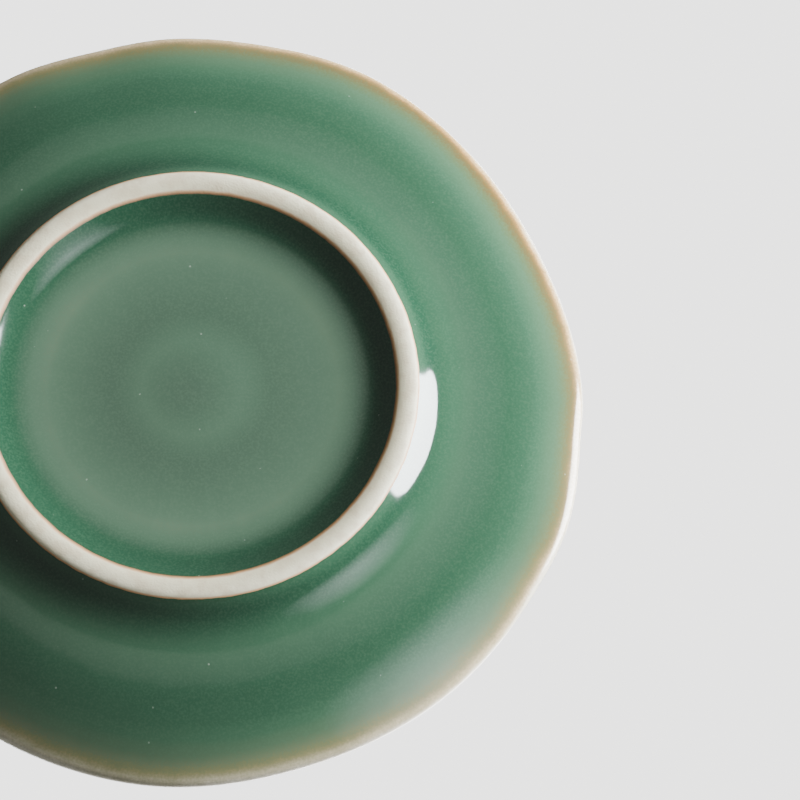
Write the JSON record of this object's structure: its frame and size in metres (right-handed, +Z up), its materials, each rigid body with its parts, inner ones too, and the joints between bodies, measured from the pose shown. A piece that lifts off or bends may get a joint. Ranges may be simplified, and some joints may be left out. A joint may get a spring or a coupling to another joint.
{
  "type": "gaiwan",
  "caption": "Lidded tea bowl on a saucer: flared bowl with a domed ring-knob lid that lifts off, standing in a shallow dish with a softly cornered hand-shaped rim and a wide bare foot ring.",
  "frame": {"origin": "centre of the saucer's foot ring, on the plane it stands on", "axes": "+Z up, through the saucer, bowl and lid; +X and +Y level, the rim's direction angles counted from +X towards +Y"},
  "size_m": [0.1167, 0.119, 0.0726],
  "materials": {
    "saucer_glaze": "glossy sea-green celadon, bare off-white clay on the foot ring",
    "bowl_glaze": "glossy sea-green celadon, bare off-white clay on the foot ring",
    "lid_glaze": "glossy sea-green celadon, bare off-white clay on the seating edge"
  },
  "bodies": {
    "saucer": {"saucer": "saucer_glaze"},
    "bowl": {"bowl": "bowl_glaze"},
    "lid": {"lid": "lid_glaze"}
  },
  "joints": [
    {"name": "bowl_lift", "type": "slide", "parent": "saucer", "child": "bowl", "axis": [0, 0, 1], "range_m": [0, 0.06]},
    {"name": "lid_lift", "type": "slide", "parent": "bowl", "child": "lid", "axis": [0, 0, 1], "range_m": [0, 0.06]}
  ]
}
